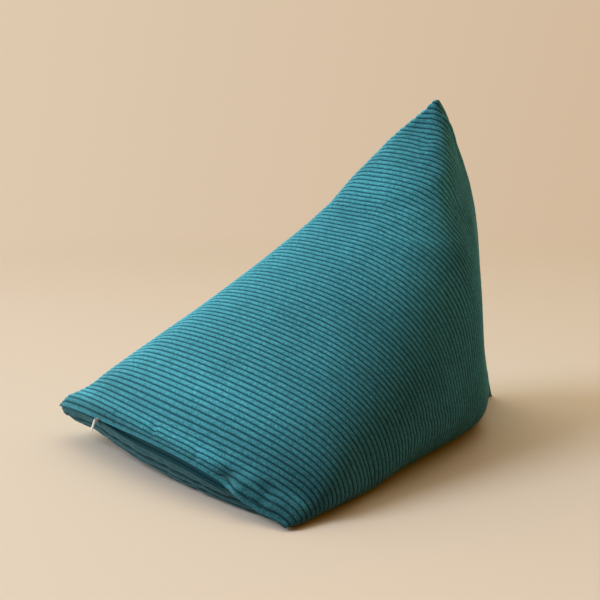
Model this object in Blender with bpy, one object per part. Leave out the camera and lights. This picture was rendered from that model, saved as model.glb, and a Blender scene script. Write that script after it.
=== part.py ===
# Meditation cushion: a tetrahedral floor cushion in wide-wale corduroy.
# The cover is one cloth tube closed by two straight seams set square to each other. It is filled firm and
# rests on one of its four faces. Metres, +Z up, +Y along the tube from the zip seam to the back seam.
import math
import bpy
import numpy as np

waleCount = 90
waleRelief = 0.0014
columns = 32
rowsPerWale = 2
ringSteps = 720
seamHalf = 0.0016
restTurn = math.radians(4.6)
floorSink = 0.004
skewBack = 1.6
sideBlend = 0.02

# One row for each section of the filled tube, from the zip seam (v = 0) to the back seam (v = 1).
sectionNames = (
    "v", "y", "z", "halfWidth", "halfHeight", "lean",
    "squareTop", "squareBottom", "sideBow", "backBow", "archZ", "archY", "x", "flare",
)
sections = np.array((
    (0.00, -0.0125, 0.0245, 0.2210, 0.0000, 6.0, 2.0, 2.0, 0.000, 0.000, 0.024, -0.0185, -0.0095, 0.00),
    (0.03, -0.0065, 0.0280, 0.2250, 0.0185, 8.0, 2.1, 2.1, 0.0035, 0.000, 0.012, -0.015, -0.0095, 0.00),
    (0.07, 0.0055, 0.0320, 0.2180, 0.0330, 12.0, 2.2, 2.3, 0.0095, 0.000, 0.0025, -0.0095, -0.0045, 0.00),
    (0.14, 0.0355, 0.049, 0.2110, 0.0505, 19.0, 2.15, 3.0, 0.0065, 0.000, 0.000, -0.006, 0.0035, 0.00),
    (0.25, 0.086, 0.070, 0.199, 0.0745, 21.0, 2.05, 4.2, 0.0165, 0.000, 0.000, 0.000, 0.003, 0.00),
    (0.40, 0.1605, 0.095, 0.1805, 0.1025, 21.5, 2.05, 3.9, 0.0225, 0.000, 0.000, 0.000, 0.0055, 0.00),
    (0.55, 0.239, 0.1195, 0.158, 0.129, 22.0, 2.35, 3.5, 0.0235, 0.000, 0.000, 0.000, 0.0095, 0.02),
    (0.70, 0.315, 0.146, 0.129, 0.1575, 22.0, 2.7, 3.1, 0.015, 0.013, 0.000, 0.000, 0.011, 0.18),
    (0.82, 0.372, 0.1705, 0.0905, 0.1825, 20.5, 3.5, 2.7, 0.0055, 0.017, 0.000, 0.000, 0.0075, 0.58),
    (0.92, 0.4215, 0.1915, 0.0455, 0.2065, 20.5, 4.2, 2.3, 0.0015, 0.0205, 0.000, 0.000, 0.0065, 0.97),
    (1.00, 0.461, 0.2085, 0.0035, 0.229, 22.5, 4.0, 2.0, 0.000, 0.020, 0.000, 0.000, 0.011, 0.06),
))

# Pulled-in places and small puffs of the cloth: where round the tube (u) and along it (v), how far they
# reach each way, and how far the face moves out.
puckers = (
    {"u": 0.406, "v": 0.020, "reachU": 0.016, "reachV": 0.040, "out": 0.0060},
    {"u": 0.372, "v": 0.012, "reachU": 0.013, "reachV": 0.030, "out": -0.0050},
    {"u": 0.437, "v": 0.045, "reachU": 0.014, "reachV": 0.022, "out": -0.0040},
    {"u": 0.250, "v": 0.030, "reachU": 0.020, "reachV": 0.030, "out": -0.0020},
    {"u": 0.125, "v": 0.030, "reachU": 0.020, "reachV": 0.030, "out": 0.0020},
)

# The open placket of the zip along the front seam, in columns counted from the left corner.
zipFirst = 4
zipLast = 13
placketDepth = 0.0080
placketHalf = 0.0060
placketOpen = 0.0030
placketRows = 3
openFrom = -0.115
openTo = 0.010
rimDepth = 0.0006

tapeFront = 0.0038
tapeThick = 0.0013
tapeHalf = 0.0034

sliderLength = 0.0085
sliderHalf = 0.0022
sliderThick = 0.0024
sliderGap = 0.0006
sliderTail = 0.8
sliderAhead = 1.5
pullLength = 0.0145
pullHalf = 0.0017
pullThick = 0.0012
pullGap = 0.0005
pullTaper = 0.75
pullHang = 0.42
pullLean = (-0.15, -0.28, -0.95)
roundSteps = 6


def column(name):
    return sectionNames.index(name)


def along(v, name):
    """Smooth value of one named column of the section table at v."""
    x = sections[:, 0]
    y = sections[:, column(name)]
    step = np.diff(x)
    slope = np.diff(y) / step
    tangent = np.empty_like(y)
    tangent[0] = slope[0]
    tangent[-1] = slope[-1]
    tangent[1:-1] = (slope[:-1] * step[1:] + slope[1:] * step[:-1]) / (x[2:] - x[:-2])
    i = min(max(int(np.searchsorted(x, v, side="right")) - 1, 0), len(x) - 2)
    h = x[i + 1] - x[i]
    t = (v - x[i]) / h
    return float(
        (2 * t**3 - 3 * t**2 + 1) * y[i]
        + (t**3 - 2 * t**2 + t) * h * tangent[i]
        + (3 * t**2 - 2 * t**3) * y[i + 1]
        + (t**3 - t**2) * h * tangent[i + 1]
    )


def turned(points):
    """The whole cushion rests turned a little about +Y, towards its right-hand corner."""
    c = math.cos(restTurn)
    s = math.sin(restTurn)
    x = points[..., 0] * c + points[..., 2] * s
    z = points[..., 2] * c - points[..., 0] * s - floorSink
    return np.stack((x, points[..., 1], z), axis=-1)


def axesAt(v):
    """Directions up the leaning section and on along the tube, after the turn."""
    lean = math.radians(along(v, "lean"))
    ends = np.array((
        (0.0, 0.0, 0.0),
        (0.0, -math.sin(lean), math.cos(lean)),
        (0.0, math.cos(lean), math.sin(lean)),
    ))
    moved = turned(ends)
    return moved[1] - moved[0], moved[2] - moved[0]


def sectionRing(v, count):
    """One ring of the filled tube, its points evenly spaced along the cloth in each quarter."""
    a = max(along(v, "halfWidth"), seamHalf)
    b = max(along(v, "halfHeight"), seamHalf)
    lean = math.radians(along(v, "lean"))
    turn = np.linspace(0.0, 2.0 * math.pi, ringSteps + 1)
    c = np.cos(turn)
    s = np.sin(turn)
    power = 2.0 / np.where(s >= 0.0, along(v, "squareTop"), along(v, "squareBottom"))
    across = -np.sign(c) * np.abs(c) ** power
    up = np.sign(s) * np.abs(s) ** power
    x = a * across * (1.0 + along(v, "flare") * np.maximum(-up, 0.0) ** 3)
    q = b * up
    bow = along(v, "sideBow") * across**2 * min(1.0, a / sideBlend)
    bow = bow + along(v, "backBow") * (1.0 - up**2) * (1.0 + skewBack * up)
    arch = 1.0 - across**2
    ring = np.stack((
        x + along(v, "x"),
        along(v, "y") - q * math.sin(lean) + bow * math.cos(lean) + along(v, "archY") * arch,
        along(v, "z") + q * math.cos(lean) + bow * math.sin(lean) + along(v, "archZ") * arch,
    ), axis=-1)
    ring = turned(ring)
    run = np.concatenate(((0.0,), np.cumsum(np.linalg.norm(np.diff(ring, axis=0), axis=1))))
    quarters = run[::ringSteps // 4]
    place = np.arange(count) / count * 4.0
    k = np.minimum(place.astype(int), 3)
    want = quarters[k] * (1.0 - (place - k)) + quarters[k + 1] * (place - k)
    return np.stack([np.interp(want, run, ring[:, axis]) for axis in range(3)], axis=-1)


def clothGrid(rows):
    """Rings of the tube from seam to seam, with the puckers but without the wales."""
    v = np.arange(rows + 1) / rows
    return v, np.array([sectionRing(value, columns) for value in v])


def outward(grid):
    """Unit normals of the tube, facing out."""
    round_ = np.roll(grid, -1, axis=1) - np.roll(grid, 1, axis=1)
    on = np.gradient(grid, axis=0)
    normal = np.cross(round_, on)
    length = np.linalg.norm(normal, axis=-1, keepdims=True)
    return normal / np.maximum(length, 1e-9)


def addObject(name, vertices, faces, colour, roughness, metallic, group, smooth=True):
    mesh = bpy.data.meshes.new(name)
    mesh.from_pydata([tuple(map(float, p)) for p in vertices], [], faces)
    mesh.update()
    for polygon in mesh.polygons:
        polygon.use_smooth = smooth
    material = bpy.data.materials.new(name + "_material")
    material.use_nodes = True
    shader = material.node_tree.nodes["Principled BSDF"]
    shader.inputs["Base Color"].default_value = (*colour, 1.0)
    shader.inputs["Roughness"].default_value = roughness
    shader.inputs["Metallic"].default_value = metallic
    mesh.materials.append(material)
    made = bpy.data.objects.new(name, mesh)
    group.objects.link(made)
    return made


def lipHalf(x):
    """Half the opening between the two edges of the placket at x."""
    t = min(max((x - openFrom) / (openTo - openFrom), 0.0), 1.0)
    return seamHalf + placketOpen * t * t * (3.0 - 2.0 * t)


def cushionMesh():
    rows = waleCount * rowsPerWale
    half = columns // 2
    quarter = columns // 4
    v, grid = clothGrid(rows)
    u = np.arange(columns) / columns
    normal = outward(grid)
    move = np.zeros(grid.shape[:2])
    for p in puckers:
        away = np.abs(u - p["u"])
        bump = np.exp(-((away / p["reachU"]) ** 2))[None, :]
        move = move + p["out"] * bump * np.exp(-(((v - p["v"]) / p["reachV"]) ** 2))[:, None]
    move[0] = 0.0
    wale = np.where(np.arange(rows + 1) % rowsPerWale == 0, -waleRelief, waleRelief)
    wale[0] = 0.0
    wale[-1] = 0.0
    grid = grid + normal * (move + wale[:, None])[..., None]

    up, on = axesAt(0.0)
    middle = np.empty((half + 1, 3))
    inner = grid[0].copy()
    for i in range(half + 1):
        low = (columns - i) % columns
        middle[i] = (grid[0, i] + grid[0, low]) / 2.0
        open_ = zipFirst <= i <= zipLast
        lip = lipHalf(middle[i][0]) if open_ else seamHalf
        depth = placketDepth if open_ else rimDepth
        wide = placketHalf if open_ else seamHalf - rimDepth / 2.0
        if 0 < i < half:
            for row in range(placketRows):
                extra = (lip - seamHalf) * (1.0 - row / placketRows)
                grid[row, i] += up * extra
                grid[row, low] -= up * extra
            inner[i] = middle[i] + up * wide + on * depth
            inner[low] = middle[i] - up * wide + on * depth
        else:
            inner[i] = middle[i] + on * depth
    grid[..., 2] = np.maximum(grid[..., 2], 0.0)
    inner[:, 2] = np.maximum(inner[:, 2], 0.0)

    vertices = list(grid.reshape(-1, 3)) + list(inner)
    first = (rows + 1) * columns

    def at(row, i):
        return row * columns + i % columns

    def inside(i):
        return first + i % columns

    faces = []
    for row in range(rows):
        for i in range(columns):
            faces.append((at(row, i), at(row, i + 1), at(row + 1, i + 1), at(row + 1, i)))
    for i in range(columns):
        faces.append((at(0, i + 1), at(0, i), inside(i), inside(i + 1)))
    faces.append((inside(1), inside(0), inside(-1)))
    for i in range(1, half - 1):
        faces.append((inside(i + 1), inside(i), inside(-i), inside(-i - 1)))
    faces.append((inside(half), inside(half - 1), inside(half + 1)))
    top = quarter
    faces.append((at(rows, top - 1), at(rows, top), at(rows, top + 1)))
    for k in range(1, half - 1):
        faces.append((
            at(rows, top - k - 1), at(rows, top - k), at(rows, top + k), at(rows, top + k + 1),
        ))
    faces.append((at(rows, top - half), at(rows, top - half + 1), at(rows, top + half - 1)))
    return vertices, faces, middle, up, on


def stripMesh(line, up, on, front, thick, halfWide):
    """A flat tape along a line of points, its front face at a depth behind the line."""
    vertices = []
    for point in line:
        for side, depth in ((halfWide, front), (halfWide, front + thick),
                            (-halfWide, front + thick), (-halfWide, front)):
            vertices.append(point + up * side + on * depth)
    faces = [(0, 1, 2, 3)]
    for i in range(len(line) - 1):
        for k in range(4):
            a = 4 * i + k
            b = 4 * i + (k + 1) % 4
            faces.append((a, a + 4, b + 4, b))
    last = 4 * (len(line) - 1)
    faces.append((last + 3, last + 2, last + 1, last))
    return vertices, faces


def plateMesh(centre, longWay, wideWay, outline, thick):
    """A flat plate with a given outline in its own plane."""
    thickWay = np.cross(longWay, wideWay)
    vertices = []
    for side in (-0.5, 0.5):
        for along_, across in outline:
            vertices.append(centre + longWay * along_ + wideWay * across + thickWay * thick * side)
    n = len(outline)
    faces = [tuple(reversed(range(n))), tuple(range(n, 2 * n))]
    for i in range(n):
        k = (i + 1) % n
        faces.append((i, k, n + k, n + i))
    return vertices, faces


def roundedOutline(length, halfWide, narrow, steps):
    """Outline of a slim tab: narrower at its top, round at both ends."""
    points = []
    for k in range(steps + 1):
        angle = math.pi * k / steps - math.pi / 2.0
        points.append((length / 2.0 - halfWide + halfWide * math.cos(angle), halfWide * math.sin(angle)))
    for k in range(steps + 1):
        angle = math.pi * k / steps + math.pi / 2.0
        points.append((-length / 2.0 + narrow + narrow * math.cos(angle), narrow * math.sin(angle)))
    return points


for old in list(bpy.data.objects):
    bpy.data.objects.remove(old, do_unlink=True)
group = bpy.data.collections.new("meditation_cushion")
bpy.context.scene.collection.children.link(group)

vertices, faces, middle, up, on = cushionMesh()
line = middle[zipFirst:zipLast + 1]
tapeVertices, tapeFaces = stripMesh(line, up, on, tapeFront, tapeThick, tapeHalf)

runWay = middle[zipFirst + 1] - middle[zipFirst]
runWay = runWay / np.linalg.norm(runWay)
upWay = np.cross(runWay, on)
upWay = upWay / np.linalg.norm(upWay)
faceWay = np.cross(upWay, runWay)
sliderOut = sliderGap + sliderThick / 2.0
sliderCentre = middle[zipFirst] + runWay * sliderLength * sliderAhead - faceWay * sliderOut
sliderOutline = roundedOutline(sliderLength, sliderHalf, sliderHalf * sliderTail, roundSteps)
sliderVertices, sliderFaces = plateMesh(sliderCentre, runWay, upWay, sliderOutline, sliderThick)

pullWay = np.array(pullLean) / np.linalg.norm(pullLean)
pullWide = np.cross(pullWay, -faceWay)
pullWide = pullWide / np.linalg.norm(pullWide)
pullTop = sliderCentre - faceWay * (sliderThick / 2.0 + pullGap + pullThick)
pullCentre = pullTop + pullWay * pullLength * pullHang
pullOutline = roundedOutline(pullLength, pullHalf, pullHalf * pullTaper, roundSteps)
pullVertices, pullFaces = plateMesh(pullCentre, pullWay, pullWide, pullOutline, pullThick)

pieces = (
    ("cushion", vertices, faces, (0.045, 0.235, 0.275), 0.85, 0.0),
    ("zip_tape", tapeVertices, tapeFaces, (0.012, 0.085, 0.110), 0.80, 0.0),
    ("zip_slider", sliderVertices, sliderFaces, (0.62, 0.64, 0.65), 0.35, 1.0),
    ("zip_pull", pullVertices, pullFaces, (0.72, 0.74, 0.75), 0.30, 1.0),
)
every = np.concatenate([np.array(piece[1]) for piece in pieces])
low = every.min(axis=0)
high = every.max(axis=0)
shift = np.array(((low[0] + high[0]) / 2.0, (low[1] + high[1]) / 2.0, low[2]))
for name, points, polygons, colour, roughness, metallic in pieces:
    addObject(name, np.array(points) - shift, polygons, colour, roughness, metallic, group)
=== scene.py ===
import math

import bpy
import numpy as np
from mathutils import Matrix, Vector


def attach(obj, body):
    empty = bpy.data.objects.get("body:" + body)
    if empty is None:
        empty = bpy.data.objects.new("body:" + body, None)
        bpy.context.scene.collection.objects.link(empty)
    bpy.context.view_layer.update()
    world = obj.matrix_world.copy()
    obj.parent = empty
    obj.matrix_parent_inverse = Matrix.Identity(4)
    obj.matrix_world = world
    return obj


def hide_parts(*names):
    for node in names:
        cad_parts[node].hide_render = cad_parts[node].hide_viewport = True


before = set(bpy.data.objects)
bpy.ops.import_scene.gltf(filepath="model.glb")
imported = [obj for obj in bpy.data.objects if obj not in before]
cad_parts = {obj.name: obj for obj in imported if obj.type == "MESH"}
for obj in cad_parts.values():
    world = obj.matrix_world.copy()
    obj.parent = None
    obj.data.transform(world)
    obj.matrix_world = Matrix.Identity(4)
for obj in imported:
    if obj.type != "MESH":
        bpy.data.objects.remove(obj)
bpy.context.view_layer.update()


def toLinear(hexColour):
    # sRGB hex to the linear colour a shader socket takes
    values = [int(hexColour[i:i + 2], 16) / 255.0 for i in (1, 3, 5)]
    return tuple(v / 12.92 if v <= 0.04045 else ((v + 0.055) / 1.055) ** 2.4 for v in values) + (1.0,)


def addNode(tree, kind, inputs=None, **settings):
    # one node with its settings; an input is a value or the socket it is linked from
    node = tree.nodes.new(kind)
    for name, value in settings.items():
        setattr(node, name, value)
    for key, value in (inputs or {}).items():
        if isinstance(value, bpy.types.NodeSocket):
            tree.links.new(value, node.inputs[key])
        else:
            node.inputs[key].default_value = value
    return node


def newMaterial(name):
    material = bpy.data.materials.new(name)
    material.use_nodes = True
    tree = material.node_tree
    tree.nodes.clear()
    return material, tree


def newObject(name, mesh, material=None):
    made = bpy.data.objects.new(name, mesh)
    bpy.context.scene.collection.objects.link(made)
    if material is not None:
        mesh.materials.append(material)
    return made


cushionShape = {
    "wales": 90,                # cord ribs between the two seams
    "tubeLength": 0.571,        # metres of cloth from seam to seam
    "tubeGirth": 0.90,
    "topColumns": 160,          # mesh columns over the top, left corner to right corner
    "baseColumns": 80,
    "ringSteps": 1440,          # steps in which each section is drawn before it is spaced evenly
    "cordSteps": 240,
    "bluntTip": 0.0055,         # how much of each pointed corner is rounded off
    "bluntAround": 4.0,         # how far round the corner that reaches, as a multiple
    "restTurn": math.radians(4.6),
    "floorSink": 0.004,         # how far it is sunk, so that it rests on a flat
    "seamHalf": 0.0016,         # half of the thinnest section
    "skewBack": 1.6,            # how far up the back its bow lies
    "sideBlend": 0.02,          # half width below which the side bow dies out
    "origin": (0.006808, -0.256222, 0.0),   # centres its box on the frame
}

# Wales to one length of the tube, at places along it: the cord lies closer over the crown than at the ends.
cordDensity = ((0.0, 60), (0.07, 76), (0.18, 94), (0.65, 97), (0.78, 90), (0.90, 89), (1.0, 72))

# Rows across one wale, as shares of its pitch: close together at the groove, wide on the crown.
wavePlaces = (0.0, 0.09, 0.25, 0.50, 0.75, 0.91)

# One row for each section of the filled tube, from the zip seam (v = 0) to the back seam (v = 1).
sectionNames = (
    "v", "y", "z", "halfWidth", "halfHeight", "lean",
    "squareTop", "squareBottom", "sideBow", "backBow", "archZ", "archY", "x", "flare",
)
sections = np.array((
    (0.00, -0.0125, 0.0245, 0.2210, 0.0000, 6.0, 2.0, 2.0, 0.000, 0.000, 0.024, -0.0185, -0.0095, 0.00),
    (0.03, -0.0065, 0.0280, 0.2250, 0.0185, 8.0, 2.1, 2.1, 0.0035, 0.000, 0.012, -0.015, -0.0095, 0.00),
    (0.07, 0.0055, 0.0320, 0.2180, 0.0330, 12.0, 2.2, 2.3, 0.0095, 0.000, 0.0025, -0.0095, -0.0045, 0.00),
    (0.14, 0.0355, 0.049, 0.2110, 0.0505, 19.0, 2.15, 3.0, 0.0065, 0.000, 0.000, -0.006, 0.0035, 0.00),
    (0.25, 0.086, 0.070, 0.199, 0.0745, 21.0, 2.05, 4.2, 0.0165, 0.000, 0.000, 0.000, 0.003, 0.00),
    (0.40, 0.1605, 0.095, 0.1805, 0.1025, 21.5, 2.05, 3.9, 0.0225, 0.000, 0.000, 0.000, 0.0055, 0.00),
    (0.55, 0.239, 0.1195, 0.158, 0.129, 22.0, 2.35, 3.5, 0.0235, 0.000, 0.000, 0.000, 0.0095, 0.02),
    (0.70, 0.315, 0.146, 0.129, 0.1575, 22.0, 2.7, 3.1, 0.015, 0.013, 0.000, 0.000, 0.011, 0.18),
    (0.82, 0.372, 0.1705, 0.0905, 0.1825, 20.5, 3.5, 2.7, 0.0055, 0.017, 0.000, 0.000, 0.0075, 0.58),
    (0.92, 0.4215, 0.1915, 0.0455, 0.2065, 20.5, 4.2, 2.3, 0.0015, 0.0205, 0.000, 0.000, 0.0065, 0.97),
    (1.00, 0.461, 0.2095, 0.0035, 0.229, 22.5, 4.0, 2.0, 0.000, 0.020, 0.000, 0.000, 0.015, 0.06),
))


def along(v):
    # every named column of the table at v, smoothly through its rows
    x = sections[:, 0]
    y = sections[:, 1:]
    step = np.diff(x)[:, None]
    slope = np.diff(y, axis=0) / step
    tangent = np.empty_like(y)
    tangent[0] = slope[0]
    tangent[-1] = slope[-1]
    tangent[1:-1] = (slope[:-1] * step[1:] + slope[1:] * step[:-1]) / (step[1:] + step[:-1])
    i = min(max(int(np.searchsorted(x, v, side="right")) - 1, 0), len(x) - 2)
    h = x[i + 1] - x[i]
    t = (v - x[i]) / h
    values = ((2 * t**3 - 3 * t**2 + 1) * y[i] + (t**3 - 2 * t**2 + t) * h * tangent[i]
              + (3 * t**2 - 2 * t**3) * y[i + 1] + (t**3 - t**2) * h * tangent[i + 1])
    return dict(zip(sectionNames[1:], values))


def turned(points):
    # the cushion rests turned a little about +Y, towards its right-hand corner
    c = math.cos(cushionShape["restTurn"])
    s = math.sin(cushionShape["restTurn"])
    x = points[..., 0] * c + points[..., 2] * s
    z = points[..., 2] * c - points[..., 0] * s - cushionShape["floorSink"]
    return np.stack((x, points[..., 1], z), axis=-1) + np.array(cushionShape["origin"])


def sectionRing(v, places):
    # one ring of the filled tube, its points evenly spaced along the cloth in each quarter
    at = along(v)
    a = max(at["halfWidth"], cushionShape["seamHalf"])
    b = max(at["halfHeight"], cushionShape["seamHalf"])
    lean = math.radians(at["lean"])
    turn = np.linspace(0.0, 2.0 * math.pi, cushionShape["ringSteps"] + 1)
    c = np.cos(turn)
    s = np.sin(turn)
    power = 2.0 / np.where(s >= 0.0, at["squareTop"], at["squareBottom"])
    across = -np.sign(c) * np.abs(c) ** power
    up = np.sign(s) * np.abs(s) ** power
    q = b * up
    bow = at["sideBow"] * across**2 * min(1.0, a / cushionShape["sideBlend"])
    bow = bow + at["backBow"] * (1.0 - up**2) * (1.0 + cushionShape["skewBack"] * up)
    arch = 1.0 - across**2
    ring = turned(np.stack((
        a * across * (1.0 + at["flare"] * np.maximum(-up, 0.0) ** 3) + at["x"],
        at["y"] - q * math.sin(lean) + bow * math.cos(lean) + at["archY"] * arch,
        at["z"] + q * math.cos(lean) + bow * math.sin(lean) + at["archZ"] * arch,
    ), axis=-1))
    run = np.concatenate(((0.0,), np.cumsum(np.linalg.norm(np.diff(ring, axis=0), axis=1))))
    quarters = run[::cushionShape["ringSteps"] // 4]
    place = places * 4.0
    k = np.minimum(place.astype(int), 3)
    want = quarters[k] * (1.0 - (place - k)) + quarters[k + 1] * (place - k)
    return np.stack([np.interp(want, run, ring[:, axis]) for axis in range(3)], axis=-1)


def outward(grid):
    # unit normals of a closed tube of rings
    roundWay = np.roll(grid, -1, axis=1) - np.roll(grid, 1, axis=1)
    onWay = np.gradient(grid, axis=0)
    normal = np.cross(roundWay, onWay)
    length = np.linalg.norm(normal, axis=-1, keepdims=True)
    return normal / np.maximum(length, 1e-9)


def smoothStep(t):
    t = np.clip(t, 0.0, 1.0)
    return t * t * (3.0 - 2.0 * t)


# Folds of the cover, seen in the photo. Each runs between two places on the cloth, u round the tube and v
# along it. "wide" is its reach to each side, "out" how far the cloth moves along its normal and "sag" how far
# it hangs down, in metres. A "step" fold rises on one side and drops on the other, and a "pinned" one leaves
# the seam itself where it is sewn. The last four are broad and soft, and fill or flatten the edges.
folds = (
    {"from": (0.257, 0.020), "to": (0.236, 0.080), "wide": 0.0050, "out": -0.0028, "step": 0.70},
    {"from": (0.250, 0.018), "to": (0.228, 0.064), "wide": 0.0110, "out": -0.0012},
    {"from": (0.341, 0.018), "to": (0.328, 0.056), "wide": 0.0042, "out": -0.0020, "step": 0.7},
    {"from": (0.396, 0.026), "to": (0.382, 0.058), "wide": 0.0075, "out": -0.0055, "step": -0.3},
    {"from": (0.426, 0.004), "to": (0.414, 0.046), "wide": 0.0105, "out": 0.0075, "sag": 0.0030},
    {"from": (0.452, 0.030), "to": (0.440, 0.058), "wide": 0.0100, "out": -0.0060},
    {"from": (0.438, 0.000), "to": (0.476, 0.004), "wide": 0.0160, "out": 0.0030, "sag": 0.0042},
    {"from": (0.545, 0.000), "to": (0.595, 0.004), "wide": 0.0150, "out": -0.0040},
    {"from": (0.174, 0.020), "to": (0.164, 0.050), "wide": 0.0050, "out": -0.0016, "step": 0.6},
    {"from": (0.205, 0.020), "to": (0.198, 0.046), "wide": 0.0050, "out": -0.0012, "step": -0.5},
    {"from": (0.985, 0.022), "to": (0.900, 0.024), "wide": 0.0150, "out": 0.0062, "pinned": True},
    {"from": (0.008, 0.020), "to": (0.020, 0.022), "wide": 0.0110, "out": -0.0016, "pinned": True},
    {"from": (0.272, 0.880), "to": (0.282, 0.925), "wide": 0.0100, "out": -0.0022},
    {"from": (0.335, 0.900), "to": (0.418, 0.480), "wide": 0.0300, "out": 0.0022},
    {"from": (0.512, 0.200), "to": (0.522, 0.470), "wide": 0.0160, "out": 0.0010},
    {"from": (0.519, 0.385), "to": (0.537, 0.560), "wide": 0.0070, "out": -0.0016, "step": 0.5},
    {"from": (0.622, 0.800), "to": (0.602, 0.360), "wide": 0.0360, "out": 0.0048},
    {"from": (0.035, 0.100), "to": (0.125, 0.360), "wide": 0.0350, "out": -0.0024},
    {"from": (0.300, 0.970), "to": (0.425, 0.740), "wide": 0.0400, "out": -0.0056},
    {"from": (0.290, 0.965), "to": (0.345, 0.730), "wide": 0.0260, "out": 0.0074},
)
foldForm = {
    "nearReach": 0.006,         # metres in which a narrow fold rises at its first end
    "nearShare": 0.4,           # the same for a wide one, as a share of its width
    "fadeFrom": 0.45,           # where along its length it begins to die out, and over how much of it
    "fadeOver": 0.75,
    "stepSlope": 1.6,
    "pinnedIn": 0.010,          # metres beside the seam in which a pinned fold rises
}

# Small puckers that the sewing draws into the cloth beside each seam, in metres: wavelength round the tube,
# height, and how far they reach from the seam. The cloth that is rolled under is creased more.
puckers = (
    {"wave": 0.0310, "height": 0.00045, "reach": 0.016, "slant": 0.35},
    {"wave": 0.0197, "height": 0.00026, "reach": 0.012, "slant": -0.50},
)
puckerDrift = ((1.4, 41.0, 1.7), (0.9, 97.0, 1.0))   # uneven spacing: size, rate and shift of two slow waves
puckerShift = 2.1
sewnFlat = 0.008                # metres beside the seam in which they rise
underCreases = 1.8
underBlend = 0.04               # how far round the tube that comes in


def foldShift(u, v):
    # how far each point of the cloth moves along its normal, and how far it hangs down
    girth = cushionShape["tubeGirth"]
    t = v[:, None] * cushionShape["tubeLength"]
    total = np.zeros((len(v), len(u)))
    sagging = np.zeros((len(v), len(u)))
    for fold in folds:
        away = ((u - fold["from"][0] + 0.5) % 1.0 - 0.5)[None, :] * girth
        on = t - fold["from"][1] * cushionShape["tubeLength"]
        turn = (fold["to"][0] - fold["from"][0]) * girth
        rise = (fold["to"][1] - fold["from"][1]) * cushionShape["tubeLength"]
        length = math.hypot(turn, rise)
        run = (away * turn + on * rise) / length
        side = (away * rise - on * turn) / length / fold["wide"]
        rising = max(foldForm["nearReach"], foldForm["nearShare"] * fold["wide"])
        nearEnd = np.exp(-(np.minimum(run, 0.0) / rising) ** 2)
        farEnd = 1.0 - smoothStep((run - length * foldForm["fadeFrom"]) / (length * foldForm["fadeOver"]))
        profile = np.exp(-side**2) * nearEnd * farEnd
        if fold.get("pinned"):
            profile = profile * smoothStep(t / foldForm["pinnedIn"])
        total = total + fold["out"] * profile * (1.0 + fold.get("step", 0.0) * side * foldForm["stepSlope"])
        sagging = sagging + fold.get("sag", 0.0) * profile
    rolledUnder = smoothStep((u - 0.5) / underBlend) * smoothStep((1.0 - u) / underBlend)
    under = 1.0 + (underCreases - 1.0) * rolledUnder
    s = u[None, :] * girth
    for n, pucker in enumerate(puckers):
        for fromSeam in (t, cushionShape["tubeLength"] - t):
            fade = np.exp(-fromSeam / pucker["reach"]) * smoothStep(fromSeam / sewnFlat)
            bend = sum(size * np.sin(s * rate + n * start) for size, rate, start in puckerDrift)
            turns = (s + fromSeam * pucker["slant"]) * 2.0 * math.pi / pucker["wave"]
            wave = np.sin(turns + bend + n * puckerShift)
            total = total + pucker["height"] * wave * fade * under[None, :]
    return total, sagging


# Painted light and shade on the cloth: faces turned up and to the back are painted lighter, those turned away
# darker, as the light falls, and patches are painted lighter or darker still: place on the cloth, reach (both
# as u and v), how much lighter.
paintedLightWay = (-0.55, 0.51, 0.66)
paintedShadeRolled = -0.5                # painted shade where an edge rolls in
paintedLightPatches = (
    {"at": (0.34, 0.68), "reach": (0.050, 0.140), "lift": 0.22},
    {"at": (0.32, 0.71), "reach": (0.040, 0.080), "lift": 0.20},
    {"at": (0.25, 0.77), "reach": (0.040, 0.060), "lift": 0.20},
    {"at": (0.24, 0.93), "reach": (0.030, 0.050), "lift": -0.30},
    {"at": (0.40, 0.69), "reach": (0.020, 0.050), "lift": -0.22},
    {"at": (0.275, 0.93), "reach": (0.060, 0.050), "lift": 0.14},
    {"at": (0.39, 0.83), "reach": (0.035, 0.100), "lift": -0.22},
    {"at": (0.47, 0.33), "reach": (0.060, 0.200), "lift": -0.36},
    {"at": (0.47, 0.12), "reach": (0.070, 0.120), "lift": -0.34},
    {"at": (0.49, 0.03), "reach": (0.050, 0.050), "lift": -0.20},
    {"at": (0.479, 0.064), "reach": (0.016, 0.012), "lift": 0.45},
    {"at": (0.437, 0.055), "reach": (0.013, 0.012), "lift": -0.55},
    {"at": (0.410, 0.012), "reach": (0.012, 0.012), "lift": 0.35},
    {"at": (0.330, 0.930), "reach": (0.040, 0.060), "lift": -0.10},
    {"at": (0.26, 0.145), "reach": (0.120, 0.060), "lift": 0.24},
    {"at": (0.20, 0.03), "reach": (0.100, 0.025), "lift": -0.28},
    {"at": (0.25, 0.00), "reach": (0.400, 0.030), "lift": -0.20},
    {"at": (0.390, 0.034), "reach": (0.014, 0.024), "lift": -0.75},
    {"at": (0.75, 0.02), "reach": (0.260, 0.060), "lift": -0.45},
    {"at": (0.12, 0.045), "reach": (0.050, 0.035), "lift": -0.17},
    {"at": (0.465, 0.062), "reach": (0.030, 0.040), "lift": -0.20},
    {"at": (0.36, 0.56), "reach": (0.050, 0.060), "lift": 0.06},
    {"at": (0.61, 0.01), "reach": (0.030, 0.030), "lift": -0.25},
)


# painted light and shade for each place on the cloth, from the way it faces and from the painted patches
def paintedLightOf(normal, u, v):
    paintedLight = normal @ np.array(paintedLightWay)
    for patch in paintedLightPatches:
        across = (u[None, :] - patch["at"][0]) / patch["reach"][0]
        on = (v[:, None] - patch["at"][1]) / patch["reach"][1]
        paintedLight = paintedLight + patch["lift"] * np.exp(-across**2 - on**2)
    return paintedLight


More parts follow.
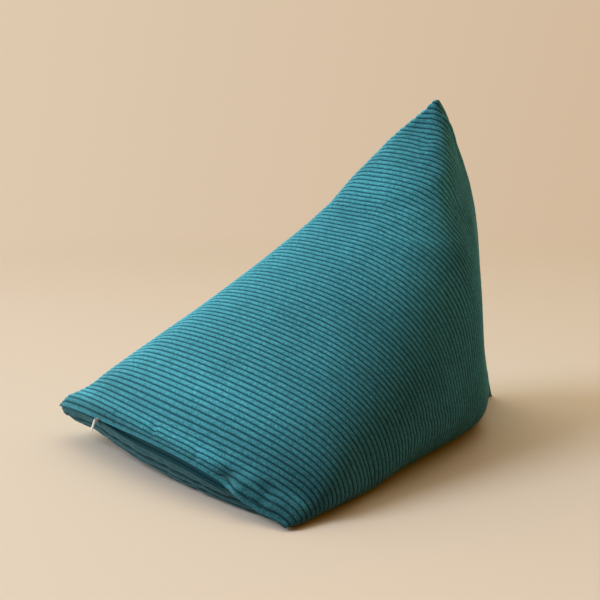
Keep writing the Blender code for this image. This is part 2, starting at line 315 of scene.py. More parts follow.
# How the filled cover settles: a cloth simulation on a coarse grid, blown up a little, with the seams and the
# part that rests on the floor held still. What it creases is kept, its slow change of form isn't.
settling = {
    "rows": 96,
    "columns": 128,
    "pressure": 4.0,
    "extraCloth": 0.02,         # share by which the cloth is larger than the form it covers
    "frames": 20,
    "heldBelow": 0.003,         # metres above the floor
    "largest": 0.012,           # metres any place may move
    "slowReach": 5.0,           # grid steps over which the slow change is taken out
    "share": 0.4,               # how much of the creasing is kept
    "fromSeam": 0.020,          # metres from each seam in which it rises
    "quality": 6,
}


def smoothed(field, reach):
    # a field on the grid, blurred: round the tube it closes on itself, along it the ends are repeated
    steps = np.arange(-int(3 * reach), int(3 * reach) + 1)
    weights = np.exp(-(steps / reach) ** 2 / 2.0)
    weights = weights / weights.sum()
    rows = np.arange(len(field))
    blurred = sum(w * np.roll(field, k, axis=1) for k, w in zip(steps, weights))
    return sum(w * blurred[np.clip(rows + k, 0, len(rows) - 1)] for k, w in zip(steps, weights))


def settledCloth():
    # how far each place of the coarse grid moves along its normal when the cover settles
    rows, columns = settling["rows"], settling["columns"]
    u = np.arange(columns) / columns
    grid = np.array([sectionRing(value, u) for value in np.linspace(0.0, 1.0, rows)])
    grid[..., 2] = np.maximum(grid[..., 2], 0.0)
    points = grid.reshape(-1, 3)
    faces = [(r * columns + c, r * columns + (c + 1) % columns,
              (r + 1) * columns + (c + 1) % columns, (r + 1) * columns + c)
             for r in range(rows - 1) for c in range(columns)]
    mesh = bpy.data.meshes.new("settlingCover")
    mesh.from_pydata(points.tolist(), [], faces)
    cover = newObject("settling_cover", mesh)
    held = cover.vertex_groups.new(name="held")
    still = [i for i, point in enumerate(points)
             if i < columns or i >= (rows - 1) * columns or point[2] < settling["heldBelow"]]
    held.add(still, 1.0, "REPLACE")
    cover.modifiers.new("settle", "CLOTH")
    cloth = cover.modifiers["settle"].settings
    cloth.vertex_group_mass = "held"
    cloth.use_pressure = True
    cloth.uniform_pressure_force = settling["pressure"]
    cloth.shrink_min = -settling["extraCloth"]
    cloth.effector_weights.gravity = 0.0
    cloth.quality = settling["quality"]
    cover.modifiers["settle"].point_cache.frame_end = settling["frames"]
    scene = bpy.context.scene
    for number in range(1, settling["frames"] + 1):
        scene.frame_set(number)
    settled = cover.evaluated_get(bpy.context.evaluated_depsgraph_get()).to_mesh()
    after = np.empty(len(points) * 3, dtype=np.float32)
    settled.vertices.foreach_get("co", after)
    scene.frame_set(1)
    bpy.data.objects.remove(cover)
    bpy.data.meshes.remove(mesh)
    moved = after.reshape(grid.shape) - grid
    length = np.linalg.norm(moved, axis=-1, keepdims=True)
    moved = moved * np.minimum(1.0, settling["largest"] / np.maximum(length, 1e-9))
    outwards = (moved * outward(grid)).sum(axis=-1)
    return outwards - smoothed(outwards, settling["slowReach"])


def settledAt(field, u, v):
    # the coarse field read at the places of the fine grid
    rows, columns = field.shape
    r = np.clip(v * (rows - 1), 0.0, rows - 1.001)[:, None]
    c = (u * columns)[None, :]
    r0 = r.astype(int)
    c0 = c.astype(int) % columns
    c1 = (c0 + 1) % columns
    tr = smoothStep(r - r0)
    tc = smoothStep(c - np.floor(c))
    return ((field[r0, c0] * (1.0 - tc) + field[r0, c1] * tc) * (1.0 - tr)
            + (field[r0 + 1, c0] * (1.0 - tc) + field[r0 + 1, c1] * tc) * tr)


zipShape = {
    "rollRadius": 0.0013,       # how round the folded cloth edge is
    "lipGap": 0.0002,
    "parting": 0.0014,          # half opening from which the tape shows at full width
    "open": 0.0038,             # widest half opening of the placket
    "openFrom": (-0.115, 0.010),    # x where it starts to open, and where it is open
    "closeFrom": (0.128, 0.142),
    "drop": 0.0032,             # how far the sewn edges hang down in the middle
    "dropAt": 0.22,             # place round the tube
    "dropReach": 0.09,
    "hangReach": 0.03,          # metres of cloth behind them that hang too
    "endTaper": 0.03,           # share of the seam in which it thins out to its corners
    "rollAngles": (30.0, 60.0, 90.0),
    "flatWales": 2.2,           # wales over which the lips' spread dies out
    "depth": 0.0080,            # of the placket, and of the seam where it is shut
    "seamDepth": 0.0030,
    "innerHalf": 0.0058,
    "wallHalf": 0.85,           # the row between lip and back, as shares of the inner half and the depth
    "wallDepth": 0.35,
    "wallCarried": 0.9,         # share of the folds' movement that this row keeps, then the back
    "backCarried": 0.5,
}


def openHalf(x):
    # half the opening between the two folded edges, for each x along the seam
    start, full = zipShape["openFrom"]
    shut, closed = zipShape["closeFrom"]
    rise = smoothStep((x - start) / (full - start))
    fall = 1.0 - smoothStep((x - shut) / (closed - shut))
    return zipShape["lipGap"] + zipShape["open"] * rise * fall


def seamDrop(u):
    # how far the sewn edges hang down in the middle of the placket
    half = np.where(u > 0.5, 1.0 - u, u)
    return zipShape["drop"] * np.exp(-((half - zipShape["dropAt"]) / zipShape["dropReach"]) ** 2)


def shareOpen(lip):
    # 0 where the seam is sewn shut, 1 where the placket gapes
    return smoothStep((lip - zipShape["lipGap"]) / zipShape["parting"])


def seamAxes(v):
    # directions up the leaning section and on along the tube, after the turn
    lean = math.radians(along(v)["lean"])
    ends = turned(np.array((
        (0.0, 0.0, 0.0), (0.0, -math.sin(lean), math.cos(lean)), (0.0, math.cos(lean), math.sin(lean)),
    )))
    return ends[1] - ends[0], ends[2] - ends[0]


def evenCord():
    # share of the cord at places in the table: the cloth of the end sections is shorter than their table step
    v = np.linspace(0.0, 1.0, cushionShape["cordSteps"] + 1)
    density = np.interp(v, *np.array(cordDensity).T)
    run = np.concatenate(((0.0,), np.cumsum((density[1:] + density[:-1]) / 2.0)))
    return run / run[-1], v


def clothSurface():
    top = cushionShape["topColumns"]
    base = cushionShape["baseColumns"]
    wales = cushionShape["wales"]
    u = np.concatenate((np.arange(top) / top * 0.5, 0.5 + np.arange(base) / base * 0.5))
    cord = np.array([(k + place) / wales for k in range(wales) for place in wavePlaces] + [1.0])
    v = np.interp(cord, *evenCord())
    grid = np.array([sectionRing(value, u) for value in v])
    return u, v, cord, grid


def blunt(grid, tip, way):
    # rounds a pointed corner: the last few millimetres towards the tip are drawn back
    reach = cushionShape["bluntTip"]
    toTip = np.clip((tip - grid) @ way, 0.0, reach)
    near = np.exp(-(np.linalg.norm(grid - tip, axis=-1) / (cushionShape["bluntAround"] * reach)) ** 2)
    drawnBack = (reach - toTip) ** 2 / (2.0 * reach)
    return grid - way * (drawnBack * near)[..., None]


# where the ribs flatten: beside the seams, and under the cushion's weight on the floor
pileEdge = {
    "sewnWales": 0.8,           # wales beside a seam in which they rise
    "onFloor": 0.0004,          # metres above the floor below which they are crushed
    "crushed": 0.35,            # share of their height that is left there
}

# rows of the back seam: share of the gap that is left, and metres inwards
backSeam = ((0.75, 0.0002), (0.35, 0.0008), (0.12, 0.0018), (0.06, 0.0035))
backTaper = 3.0                 # mesh columns in which it thins out to its corners


def buildCushion():
    top = cushionShape["topColumns"]
    base = cushionShape["baseColumns"]
    columns = top + base
    u, v, cord, grid = clothSurface()
    rows = len(v)
    normal = outward(grid)
    paintedLight = paintedLightOf(normal, u, v)
    out, sag = foldShift(u, v)
    creases = settledCloth()
    print("cover settled, creases up to", round(float(np.abs(creases).max()) * 1000.0, 1), "mm")
    fromSeam = np.minimum(v, 1.0 - v) * cushionShape["tubeLength"] / settling["fromSeam"]
    out = out + settling["share"] * settledAt(creases, u, v) * smoothStep(fromSeam)[:, None]
    upBack, onBack = seamAxes(1.0)
    for tip, way in ((grid[0, 0], (-1.0, 0.0, 0.0)), (grid[0, top], (1.0, 0.0, 0.0)),
                     (grid[-1, top // 2], upBack)):
        grid = blunt(grid, tip.copy(), np.array(way))
    grid = grid + normal * out[..., None]
    hang = np.exp(-(v * cushionShape["tubeLength"] / zipShape["hangReach"]) ** 2)
    grid[..., 2] -= sag + hang[:, None] * seamDrop(u)[None, :]

    # the two lips of the zip seam
    up, on = seamAxes(0.0)
    even = sectionRing(0.0, np.arange(2 * top) / (2 * top))
    middle = (even[:top + 1] + even[(2 * top - np.arange(top + 1)) % (2 * top)]) / 2.0
    share = np.arange(top + 1) / top
    middle[:, 2] -= seamDrop(share / 2.0)
    taper = smoothStep(np.minimum(share, 1.0 - share) / zipShape["endTaper"])
    lip = openHalf(middle[:, 0]) * taper
    openShare = shareOpen(lip)
    roll = zipShape["rollRadius"] * taper
    waleFade = 1.0 - smoothStep(cord * cushionShape["wales"] / zipShape["flatWales"])
    topOf = np.arange(top + 1)
    baseOf = np.concatenate(((0,), columns - 1 - np.arange(base - 1), (top,)))
    for i in range(1, top):
        grid[:, i] += up * (lip[i] + roll[i] - cushionShape["seamHalf"]) * waleFade[:, None]
    for j in range(1, base):
        k = 2 * j
        grid[:, baseOf[j]] -= up * (lip[k] + roll[k] - cushionShape["seamHalf"]) * waleFade[:, None]
    grid[..., 2] = np.maximum(grid[..., 2], 0.0)

    vertices = [grid.reshape(-1, 3)]
    relief = np.ones((rows, columns))
    for fromSeam in (cord, 1.0 - cord):
        relief *= smoothStep(fromSeam * cushionShape["wales"] / pileEdge["sewnWales"])[:, None]
    relief = np.where(grid[..., 2] < pileEdge["onFloor"], relief * pileEdge["crushed"], relief)
    count = rows * columns
    faces = []
    corners = []

    def at(row, i):
        return row * columns + i % columns

    def uvAt(row, i):
        return (u[i % columns] + (1.0 if i == columns else 0.0), cord[row])

    def addFace(points, places):
        faces.append(points)
        corners.extend(places)

    for row in range(rows - 1):
        for i in range(columns):
            addFace((at(row, i), at(row, i + 1), at(row + 1, i + 1), at(row + 1, i)),
                    (uvAt(row, i), uvAt(row, i + 1), uvAt(row + 1, i + 1), uvAt(row + 1, i)))

    def addRow(points):
        nonlocal count
        start = count
        points = np.array(points)
        points[:, 2] = np.maximum(points[:, 2], 0.0)
        vertices.append(points)
        count += len(points)
        return start + np.arange(len(points))

    def foldedEdge(edge, offsets):
        # rows that roll an edge of the cloth inwards and meet it at both ends
        rowsMade = [edge]
        for points in offsets:
            made = addRow(points)
            made[0] = edge[0]
            made[-1] = edge[-1]
            rowsMade.append(made)
        return rowsMade

    def addClean(points, place):
        # a face without the corners that meet, if enough are left
        loop = [p for n, p in enumerate(points) if p != points[n - 1]]
        if len(loop) > 2:
            addFace(tuple(loop), [place] * len(loop))

    def joinRows(made, flip, place):
        for near, far in zip(made[:-1], made[1:]):
            for i in range(len(near) - 1):
                a, b, c, d = near[i], near[i + 1], far[i + 1], far[i]
                addClean([b, a, d, c] if flip else [a, b, c, d], place)

    # rolled edges of the placket and of the closed seam beside it, then its inner walls
    angles = [math.radians(a) for a in zipShape["rollAngles"]]
    depth = zipShape["seamDepth"] + (zipShape["depth"] - zipShape["seamDepth"]) * openShare
    innerHalf = (zipShape["lipGap"] / 2.0 + zipShape["innerHalf"] * openShare) * taper
    lipRows = {}
    for side, pick, edge in ((1.0, slice(None), topOf), (-1.0, slice(None, None, 2), baseOf)):
        offsets = []
        # the edge has moved with its folds, and the rolled cloth behind it moves with it
        carry = grid[0, edge] - (middle + up * (side * (lip + roll))[:, None])[pick]
        for angle in angles:
            sideways = lip + roll - roll * math.sin(angle)
            inward = roll - roll * math.cos(angle)
            offsets.append((middle + up * (side * sideways)[:, None] + on * inward[:, None])[pick] + carry)
        wall = np.maximum(lip, innerHalf * zipShape["wallHalf"])
        for sideways, inward, carried in (
            (wall, depth * zipShape["wallDepth"] * taper, zipShape["wallCarried"]),
            (innerHalf, depth * taper, zipShape["backCarried"]),
        ):
            offsets.append((middle + up * (side * sideways)[:, None] + on * inward[:, None])[pick]
                           + carry * carried)
        lipRows[side] = foldedEdge(edge, offsets)
    frontPlace = (0.25, 0.0)
    joinRows(lipRows[1.0], True, frontPlace)
    joinRows(lipRows[-1.0], False, frontPlace)
    topLast = lipRows[1.0][-1]
    baseLast = lipRows[-1.0][-1]
    for j in range(base):
        k = 2 * j
        for loop in ((topLast[k + 1], topLast[k], baseLast[j]),
                     (topLast[k + 1], baseLast[j], baseLast[j + 1]),
                     (topLast[k + 2], topLast[k + 1], baseLast[j + 1])):
            addClean(loop, frontPlace)

    # the back seam: both edges roll in to a narrow groove
    apex = top // 2
    left = [apex - k for k in range(apex + 1)] + [columns - 1 - k for k in range(base // 2)]
    right = [apex + k for k in range(apex + 1)] + [top + 1 + k for k in range(base // 2)]
    last = (rows - 1) * columns
    leftEdge = last + np.array(left)
    rightEdge = last + np.array(right)
    pa = grid[-1, left]
    pb = grid[-1, right]
    centre = (pa + pb) / 2.0
    halfWay = (pa - pb) / 2.0
    backRows = {}
    for side, edge in ((1.0, leftEdge), (-1.0, rightEdge)):
        offsets = []
        fromEnd = np.minimum(np.arange(len(edge)), len(edge) - 1 - np.arange(len(edge)))
        fade = smoothStep(fromEnd / backTaper)
        for narrow, inward in backSeam:
            offsets.append(centre + halfWay * side * narrow - onBack * (inward * fade)[:, None])
        backRows[side] = foldedEdge(edge, offsets)
    backPlace = (0.25, 1.0)
    joinRows(backRows[1.0], False, backPlace)
    joinRows(backRows[-1.0], True, backPlace)
    leftLast = backRows[1.0][-1]
    rightLast = backRows[-1.0][-1]
    for i in range(len(leftEdge) - 1):
        addClean([leftLast[i + 1], rightLast[i + 1], rightLast[i], leftLast[i]], backPlace)

    mesh = bpy.data.meshes.new("corduroyCover")
    mesh.from_pydata(np.concatenate(vertices).tolist(), [], [tuple(int(p) for p in f) for f in faces])
    clothMap = mesh.uv_layers.new(name="clothMap")
    metres = np.array(corners, dtype=np.float32)
    metres[:, 0] *= cushionShape["tubeGirth"]
    metres[:, 1] *= cushionShape["tubeLength"]
    clothMap.data.foreach_set("uv", metres.reshape(-1))
    # place along the cord, height of the ribs and painted light and shade: on the grid, and where the edges
    # roll in
    place = np.repeat(cord, columns)
    for name, laid, rolled in (
        ("alongCloth", place, 0.0), ("pileRelief", relief, 0.0), ("paintedShading", paintedLight, paintedShadeRolled),
    ):
        values = np.concatenate((laid.reshape(-1), np.full(count - rows * columns, rolled)))
        attribute = mesh.attributes.new(name, "FLOAT", "POINT")
        attribute.data.foreach_set("value", values.astype(np.float32))
    mesh.polygons.foreach_set("use_smooth", [True] * len(mesh.polygons))
    mesh.update()
    return mesh, middle, up, on


print("cushion cloth")
coverMesh, seamLine, seamUp, seamOn = buildCushion()
print("cushion faces", len(coverMesh.polygons))


waleSizes = {
    "Wales": cushionShape["wales"],
    "Height": 0.0009,           # metres, half of the depth from crown to groove
    "Flatness": 2.3,            # higher gives broader crowns and narrower grooves
    "Unevenness": 0.25,
    "Slow Scale": 60.0,         # of the ribs' unevenness, about 17 mm
    "Pile": 0.00066,            # metres, the brushed pile's own lumps
    "Fine Scale": 240.0,        # of these lumps, about 4 mm
    "Floor": 0.0,
}


def fromCrown(tree, turns):
    # how far a place is from its wale's crown: 1 in the groove
    phase = addNode(tree, "ShaderNodeMath", {0: turns}, operation="FRACT").outputs[0]
    doubled = addNode(tree, "ShaderNodeMath", {0: phase, 1: 2.0, 2: -1.0},
                      operation="MULTIPLY_ADD").outputs[0]
    return addNode(tree, "ShaderNodeMath", {0: doubled}, operation="ABSOLUTE").outputs[0]


def corduroyWales():
    tree = bpy.data.node_groups.new("corduroyWales", "GeometryNodeTree")
    face = tree.interface
    face.new_socket("Geometry", in_out="INPUT", socket_type="NodeSocketGeometry")
    for name, value in waleSizes.items():
        kind = "NodeSocketInt" if isinstance(value, int) else "NodeSocketFloat"
        face.new_socket(name, in_out="INPUT", socket_type=kind)
    face.new_socket("Cloth", in_out="INPUT", socket_type="NodeSocketMaterial")
    face.new_socket("Geometry", in_out="OUTPUT", socket_type="NodeSocketGeometry")
    given = addNode(tree, "NodeGroupInput").outputs
    place, relief = (
        addNode(tree, "GeometryNodeInputNamedAttribute", {"Name": name}, data_type="FLOAT").outputs[0]
        for name in ("alongCloth", "pileRelief")
    )
    turns = addNode(tree, "ShaderNodeMath", {0: place, 1: given["Wales"]}, operation="MULTIPLY").outputs[0]
    steep = addNode(tree, "ShaderNodeMath", {0: fromCrown(tree, turns), 1: given["Flatness"]},
                    operation="POWER").outputs[0]
    rib = addNode(tree, "ShaderNodeMath", {0: steep, 1: -2.0, 2: 1.0}, operation="MULTIPLY_ADD").outputs[0]
    where = addNode(tree, "GeometryNodeInputPosition").outputs[0]
    slow = addNode(tree, "ShaderNodeTexNoise", {
        "Vector": where, "Scale": given["Slow Scale"], "Detail": 2.0,
    }).outputs[0]
    slowShift = addNode(tree, "ShaderNodeMath", {0: slow, 1: 0.5}, operation="SUBTRACT").outputs[0]
    uneven = addNode(tree, "ShaderNodeMath", {0: slowShift, 1: given["Unevenness"], 2: 1.0},
                     operation="MULTIPLY_ADD").outputs[0]
    for factor in (given["Height"], uneven):
        rib = addNode(tree, "ShaderNodeMath", {0: rib, 1: factor}, operation="MULTIPLY").outputs[0]
    fine = addNode(tree, "ShaderNodeTexNoise", {
        "Vector": where, "Scale": given["Fine Scale"], "Detail": 3.0,
    }).outputs[0]
    fineShift = addNode(tree, "ShaderNodeMath", {0: fine, 1: 0.5}, operation="SUBTRACT").outputs[0]
    lumps = addNode(tree, "ShaderNodeMath", {0: fineShift, 1: given["Pile"]}, operation="MULTIPLY").outputs[0]
    height = addNode(tree, "ShaderNodeMath", {0: rib, 1: lumps}, operation="ADD").outputs[0]
    height = addNode(tree, "ShaderNodeMath", {0: height, 1: relief}, operation="MULTIPLY").outputs[0]
    facing = addNode(tree, "GeometryNodeInputNormal").outputs[0]
    offset = addNode(tree, "ShaderNodeVectorMath", {0: facing, "Scale": height}, operation="SCALE").outputs[0]
    raised = addNode(tree, "GeometryNodeSetPosition", {"Geometry": given["Geometry"], "Offset": offset})
    whereNow = addNode(tree, "GeometryNodeInputPosition").outputs[0]
    parts = addNode(tree, "ShaderNodeSeparateXYZ", {0: whereNow}).outputs
    lowest = addNode(tree, "ShaderNodeMath", {0: parts["Z"], 1: given["Floor"]},
                     operation="MAXIMUM").outputs[0]
    rested = addNode(tree, "ShaderNodeCombineXYZ", {"X": parts["X"], "Y": parts["Y"], "Z": lowest}).outputs[0]
    flat = addNode(tree, "GeometryNodeSetPosition", {"Geometry": raised.outputs[0], "Position": rested})
    real = addNode(tree, "GeometryNodeRealizeInstances", {"Geometry": flat.outputs[0]})
    clothed = addNode(tree, "GeometryNodeSetMaterial", {
        "Geometry": real.outputs[0], "Material": given["Cloth"],
    })
    addNode(tree, "NodeGroupOutput", {"Geometry": clothed.outputs[0]})
    return tree


# Cotton corduroy: a brushed cut pile standing in broad ribs. Painted shade darkens the grooves between the
# ribs, and the pile's tips turn pale at a glancing view. Wale pitch 6.3 mm, tufts about 1.5 mm.
corduroyLook = {
    "pile": "#2c8aa2",
    "pileLight": "#59b4cb",
    # painted shade in the grooves
    "groove": "#155a6d",
    "sheen": "#8ec6d0",
    "sheenWeight": 0.45,
    "sheenRoughness": 0.42,
    "grooveStart": 0.40,        # share of the way from a wale's crown to its groove
    "grooveFull": 0.95,
    "paintedShadingStrength": 1.15,
    "paintedShadingEven": 0.18,            # painted shading at which the cloth has its own colour
    "wander": 0.10,             # how far a wale strays, in wales
    "wanderScale": 110.0,
    "ragged": 0.21,             # how rough its edges are, in wales
    "raggedScale": 520.0,
    "tuft": 620.0,              # noise scales: single tufts, clumps of them and broad patches
    "mottle": 230.0,
    "mottleDepth": 0.19,
    "patch": 26.0,
    "patchDepth": 0.07,
}


def corduroyMaterial():
    look = corduroyLook
    material, tree = newMaterial("brushed cotton corduroy")
    cloth = addNode(tree, "ShaderNodeUVMap", uv_map="clothMap").outputs[0]
    body = addNode(tree, "ShaderNodeTexCoord").outputs["Object"]
    parts = addNode(tree, "ShaderNodeSeparateXYZ", {0: cloth}).outputs
    pitch = cushionShape["tubeLength"] / cushionShape["wales"]
    turns = addNode(tree, "ShaderNodeMath", {0: parts["Y"], 1: 1.0 / pitch}, operation="MULTIPLY").outputs[0]
    for scale, reach in ((look["wanderScale"], look["wander"]), (look["raggedScale"], look["ragged"])):
        astray = addNode(tree, "ShaderNodeTexNoise", {
            "Vector": body, "Scale": scale, "Detail": 2.0,
        }).outputs[0]
        astray = addNode(tree, "ShaderNodeMath", {0: astray, 1: 0.5}, operation="SUBTRACT").outputs[0]
        turns = addNode(tree, "ShaderNodeMath", {0: astray, 1: reach, 2: turns},
                        operation="MULTIPLY_ADD").outputs[0]
    inGroove = addNode(tree, "ShaderNodeMapRange", {
        "Value": fromCrown(tree, turns), "From Min": look["grooveStart"], "From Max": look["grooveFull"],
    }, interpolation_type="SMOOTHSTEP").outputs[0]
    tufts = addNode(tree, "ShaderNodeTexNoise", {
        "Vector": body, "Scale": look["tuft"], "Detail": 4.0, "Roughness": 0.65,
    }).outputs[0]
    tuftShade = addNode(tree, "ShaderNodeMapRange", {
        "Value": tufts, "From Min": 0.39, "From Max": 0.61,
    }).outputs[0]
    pile = addNode(tree, "ShaderNodeMix", {
        0: tuftShade, 6: toLinear(look["pile"]), 7: toLinear(look["pileLight"]),
    }, data_type="RGBA").outputs[2]
    for scale, depth in ((look["patch"], look["patchDepth"]), (look["mottle"], look["mottleDepth"])):
        cloud = addNode(tree, "ShaderNodeTexNoise", {
            "Vector": body, "Scale": scale, "Detail": 2.0,
        }).outputs[0]
        shade = addNode(tree, "ShaderNodeMapRange", {
            "Value": cloud, "From Min": 0.3, "From Max": 0.7, "To Min": 1.0 - depth, "To Max": 1.0 + depth,
        }).outputs[0]
        pile = addNode(tree, "ShaderNodeHueSaturation", {"Value": shade, "Color": pile}).outputs[0]
    # painted shade: the grooves take the darker groove colour
    colour = addNode(tree, "ShaderNodeMix", {0: inGroove, 6: pile, 7: toLinear(look["groove"])},
                     data_type="RGBA").outputs[2]
    # painted light and shade: the cloth's colour is scaled up where it is painted lighter and down where it
    # is painted darker
    paintedLight = addNode(tree, "ShaderNodeAttribute", attribute_name="paintedShading").outputs["Fac"]
    for operation, value in (("SUBTRACT", look["paintedShadingEven"]), ("MULTIPLY", look["paintedShadingStrength"])):
        paintedLight = addNode(tree, "ShaderNodeMath", {0: paintedLight, 1: value}, operation=operation).outputs[0]
    paintedLight = addNode(tree, "ShaderNodeMath", {0: paintedLight}, operation="EXPONENT").outputs[0]
    colour = addNode(tree, "ShaderNodeHueSaturation", {"Value": paintedLight, "Color": colour}).outputs[0]
    bump = addNode(tree, "ShaderNodeBump", {"Height": tufts, "Strength": 0.55, "Distance": 0.0006}).outputs[0]
    shader = addNode(tree, "ShaderNodeBsdfPrincipled", {
        "Base Color": colour, "Roughness": 0.92, "Specular IOR Level": 0.15, "Normal": bump,
        "Sheen Weight": look["sheenWeight"], "Sheen Roughness": look["sheenRoughness"],
        "Sheen Tint": toLinear(look["sheen"]),
    })
    addNode(tree, "ShaderNodeOutputMaterial", {"Surface": shader.outputs[0]})
    return material


cover = newObject("corduroy_cover", coverMesh)
ribbing = cover.modifiers.new("wales", "NODES")
ribbing.node_group = corduroyWales()
waleInputs = {**waleSizes, "Cloth": corduroyMaterial()}
for socket in ribbing.node_group.interface.items_tree:
    if socket.in_out == "INPUT" and socket.name in waleInputs:
        ribbing[socket.identifier] = waleInputs[socket.name]
bpy.context.view_layer.update()
ribbed = bpy.data.meshes.new_from_object(cover.evaluated_get(bpy.context.evaluated_depsgraph_get()))
cover.modifiers.clear()
cover.data = ribbed
ribbed.name = "corduroyCover"
print("cushion wales", len(ribbed.polygons), "faces")
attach(cover, "root")
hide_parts("cushion")


# The tape behind the placket. Its two halves meet in a fine bead over the hidden teeth. "profile" is its
# section: share of the half width to each side, and metres inwards.
tapeShape = {
    "front": 0.0040,            # metres behind the sewn edges
    "half": 0.0050,             # half of its widest place
    "clear": 0.0004,            # kept free of the placket's walls
    "shownFrom": 0.35,          # share of the opening from which there is tape
    "profile": (
        (-1.0, 0.0006), (-0.6, 0.0003), (-0.16, 0.0), (-0.08, -0.0005), (0.0, -0.0007), (0.08, -0.0005),
        (0.16, 0.0), (0.6, 0.0003), (1.0, 0.0006), (1.0, 0.0018), (-1.0, 0.0018),
    ),
    "dark": "#0b3f49",
    "light": "#12525e",
    "weave": 900.0,
}


def tapeStrip():
    share = shareOpen(openHalf(seamLine[:, 0]))
    show = np.where(share > tapeShape["shownFrom"])[0]
    shown = slice(show[0], show[-1] + 1)
    line = seamLine[shown]
    halves = np.minimum(tapeShape["half"], zipShape["innerHalf"] * share[shown] - tapeShape["clear"])
    vertices = []
    for point, half in zip(line, halves):
        for side, depth in tapeShape["profile"]:
            vertices.append(point + seamUp * side * half + seamOn * (tapeShape["front"] + depth))
    n = len(tapeShape["profile"])
    faces = [tuple(range(n))]
    for i in range(len(line) - 1):
        for k in range(n):
            a = n * i + k
            b = n * i + (k + 1) % n
            faces.append((a, a + n, b + n, b))
    start = n * (len(line) - 1)
    faces.append(tuple(start + k for k in reversed(range(n))))
    mesh = bpy.data.meshes.new("zipTape")
    mesh.from_pydata([tuple(map(float, p)) for p in vertices], [], faces)
    mesh.update()
    return mesh


# Woven polyester: a fine flat weave without pile, dyed deep. It reads as one smooth dark strip with a little
# shine between the ribbed lips.
def tapeMaterial():
    material, tree = newMaterial("woven polyester zip tape")
    body = addNode(tree, "ShaderNodeTexCoord").outputs["Object"]
    weave = addNode(tree, "ShaderNodeTexNoise", {
        "Vector": body, "Scale": tapeShape["weave"], "Detail": 2.0,
    }).outputs[0]
    colour = addNode(tree, "ShaderNodeMix", {
        0: weave, 6: toLinear(tapeShape["dark"]), 7: toLinear(tapeShape["light"]),
    }, data_type="RGBA").outputs[2]
    bump = addNode(tree, "ShaderNodeBump", {"Height": weave, "Strength": 0.4, "Distance": 0.0003}).outputs[0]
    shader = addNode(tree, "ShaderNodeBsdfPrincipled", {
        "Base Color": colour, "Roughness": 0.6, "Specular IOR Level": 0.25, "Normal": bump,
    })
    addNode(tree, "ShaderNodeOutputMaterial", {"Surface": shader.outputs[0]})
    return material


tape = newObject("zip_tape_woven", tapeStrip(), tapeMaterial())
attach(tape, "root")
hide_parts("zip_tape")
print("zip tape")


# Die-cast zinc, plated and tumbled. The slider is bare and dull, a grey metal with soft highlights. The pull
# wears a pale lacquer, so it stays light beside dark cloth that bare metal would mirror.
metalLook = {
    "zip_slider": {"name": "dull plated zinc slider", "tint": "#8d979c", "bare": 1.0, "rough": (0.36, 0.50)},
    "zip_pull": {"name": "pale lacquered zinc pull", "tint": "#eef6fa", "bare": 0.15, "rough": (0.28, 0.42)},
}
tumbleMarks = 1500.0            # noise scale of the marks, well under a millimetre


def metalMaterial(look):
    material, tree = newMaterial(look["name"])
    body = addNode(tree, "ShaderNodeTexCoord").outputs["Object"]
    marks = addNode(tree, "ShaderNodeTexNoise", {
        "Vector": body, "Scale": tumbleMarks, "Detail": 2.0,
    }).outputs[0]
    roughness = addNode(tree, "ShaderNodeMapRange", {
        "Value": marks, "To Min": look["rough"][0], "To Max": look["rough"][1],
    }).outputs[0]
    shader = addNode(tree, "ShaderNodeBsdfPrincipled", {
        "Base Color": toLinear(look["tint"]), "Metallic": look["bare"], "Roughness": roughness,
    })
    addNode(tree, "ShaderNodeOutputMaterial", {"Surface": shader.outputs[0]})
    return material


for nodeName, look in metalLook.items():
    finish = metalMaterial(look)
    for slot in bpy.data.objects[nodeName].material_slots:
        slot.material = finish
print("zip slider and pull")

# studio: pale paper floor, one large soft key from the left, a broad pale light from above and behind, and
# a warm fill from all round
studio = {
    "paper": "#e7dcd0",
    "paperReach": 6.0,
    "paperBelow": 0.0004,       # metres under the cushion
    "paperFibre": 900.0,
    "fadeFrom": 1.0,            # metres from the cushion where the paper runs out into the backdrop
    "fadeTo": 3.2,
    "backdropLeft": "#dfcab0",
    "backdropRight": "#d2b89b",
    "backdropWay": (0.678, 0.735, -0.2),    # from left to right, as the camera sees it
    "backdropHalf": 0.35,
    "keySize": 2.9,
    "keyPower": 150.0,
    "keyColour": "#e3f0ff",
    "keyFrom": (-0.354, -0.935),    # the way to it over the floor, and its rise in degrees
    "keyRise": 36.0,
    "keyDistance": 5.0,
    "keyAim": (0.0, 0.0, 0.15),
    "ceiling": "#f9ffee",       # the light from above and behind
    "ceilingPower": 1.31,
    "ceilingFocus": 3.0,
    "ceilingFrom": (-0.487, 0.110, 0.866),
    "air": "#ffaf22",           # the warm fill
    "airPower": 0.27,
}


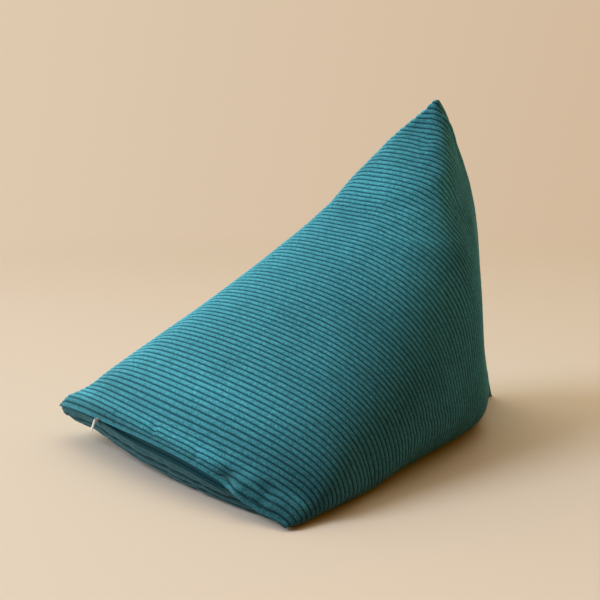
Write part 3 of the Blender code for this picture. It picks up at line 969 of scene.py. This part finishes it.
# Uncoated background paper: even and dead matt, so it takes nothing but soft shade, with a trace of fibre
def paperFloor():
    material, tree = newMaterial("matt studio paper")
    body = addNode(tree, "ShaderNodeTexCoord").outputs["Object"]
    fibre = addNode(tree, "ShaderNodeTexNoise", {
        "Vector": body, "Scale": studio["paperFibre"], "Detail": 2.0,
    }).outputs[0]
    bump = addNode(tree, "ShaderNodeBump", {"Height": fibre, "Strength": 0.05, "Distance": 0.0003}).outputs[0]
    paper = addNode(tree, "ShaderNodeBsdfPrincipled", {
        "Base Color": toLinear(studio["paper"]), "Roughness": 0.9, "Specular IOR Level": 0.1, "Normal": bump,
    })
    distance = addNode(tree, "ShaderNodeVectorMath", {0: body}, operation="LENGTH").outputs["Value"]
    fade = addNode(tree, "ShaderNodeMapRange", {
        "Value": distance, "From Min": studio["fadeFrom"], "From Max": studio["fadeTo"],
    }, interpolation_type="SMOOTHSTEP").outputs[0]
    clear = addNode(tree, "ShaderNodeBsdfTransparent").outputs[0]
    mixed = addNode(tree, "ShaderNodeMixShader", {0: fade, 1: paper.outputs[0], 2: clear})
    addNode(tree, "ShaderNodeOutputMaterial", {"Surface": mixed.outputs[0]})
    mesh = bpy.data.meshes.new("paperFloor")
    reach = studio["paperReach"]
    mesh.from_pydata([(-reach, -reach, 0), (reach, -reach, 0), (reach, reach, 0), (-reach, reach, 0)], [],
                     [(0, 1, 2, 3)])
    floor = newObject("paper_floor", mesh, material)
    floor.location.z = -studio["paperBelow"]


paperFloor()

world = bpy.data.worlds.new("studioAir")
bpy.context.scene.world = world
world.use_nodes = True
air = world.node_tree
air.nodes.clear()
direction = addNode(air, "ShaderNodeTexCoord").outputs["Generated"]
# painted shade: the backdrop that the camera sees is painted darker from left to right, away from the key
across, above = (
    addNode(air, "ShaderNodeVectorMath", {0: direction, 1: way}, operation="DOT_PRODUCT").outputs["Value"]
    for way in (studio["backdropWay"], studio["ceilingFrom"])
)
sideways = addNode(air, "ShaderNodeMapRange", {
    "Value": across, "From Min": -studio["backdropHalf"], "From Max": studio["backdropHalf"],
}).outputs[0]
seen = addNode(air, "ShaderNodeMix", {
    0: sideways, 6: toLinear(studio["backdropLeft"]), 7: toLinear(studio["backdropRight"]),
}, data_type="RGBA").outputs[2]
shown = addNode(air, "ShaderNodeBackground", {"Color": seen, "Strength": 1.0}).outputs[0]
for operation, value in (
    ("MAXIMUM", 0.0), ("POWER", studio["ceilingFocus"]), ("MULTIPLY", studio["ceilingPower"]),
):
    above = addNode(air, "ShaderNodeMath", {0: above, 1: value}, operation=operation).outputs[0]
ceiling = addNode(air, "ShaderNodeBackground", {
    "Color": toLinear(studio["ceiling"]), "Strength": above,
}).outputs[0]
around = addNode(air, "ShaderNodeBackground", {
    "Color": toLinear(studio["air"]), "Strength": studio["airPower"],
}).outputs[0]
fill = addNode(air, "ShaderNodeAddShader", {0: ceiling, 1: around}).outputs[0]
cameraRay = addNode(air, "ShaderNodeLightPath").outputs["Is Camera Ray"]
sky = addNode(air, "ShaderNodeMixShader", {0: cameraRay, 1: fill, 2: shown})
addNode(air, "ShaderNodeOutputWorld", {"Surface": sky.outputs[0]})

key = bpy.data.lights.new("softKey", "AREA")
key.shape = "DISK"
key.size = studio["keySize"]
key.energy = studio["keyPower"]
key.color = toLinear(studio["keyColour"])[:3]
keyObject = bpy.data.objects.new("softKey", key)
bpy.context.scene.collection.objects.link(keyObject)
riseAngle = math.radians(studio["keyRise"])
toKey = Vector((*(way * math.cos(riseAngle) for way in studio["keyFrom"]), math.sin(riseAngle)))
keyObject.location = Vector(studio["keyAim"]) + toKey * studio["keyDistance"]
keyObject.rotation_euler = toKey.to_track_quat("Z", "Y").to_euler()

# camera at the photo's angle: 60 mm lens, a little above the cushion
eye = {
    "place": (0.89809, -0.84271, 0.35680),
    "look": (-0.71956, 0.66460, -0.20134),
    "lens": 60.0,
    "sensor": 36.0,
    "shift": (-0.0474, 0.0850),
}
camera = bpy.data.cameras.new("photoView")
camera.lens = eye["lens"]
camera.sensor_width = eye["sensor"]
camera.shift_x, camera.shift_y = eye["shift"]
cameraObject = bpy.data.objects.new("photoView", camera)
cameraObject.location = eye["place"]
cameraObject.rotation_euler = Vector(eye["look"]).to_track_quat("-Z", "Y").to_euler()
bpy.context.scene.collection.objects.link(cameraObject)
bpy.context.scene.camera = cameraObject
bpy.context.scene.view_settings.view_transform = "Standard"
print("studio and camera")

bpy.context.view_layer.update()
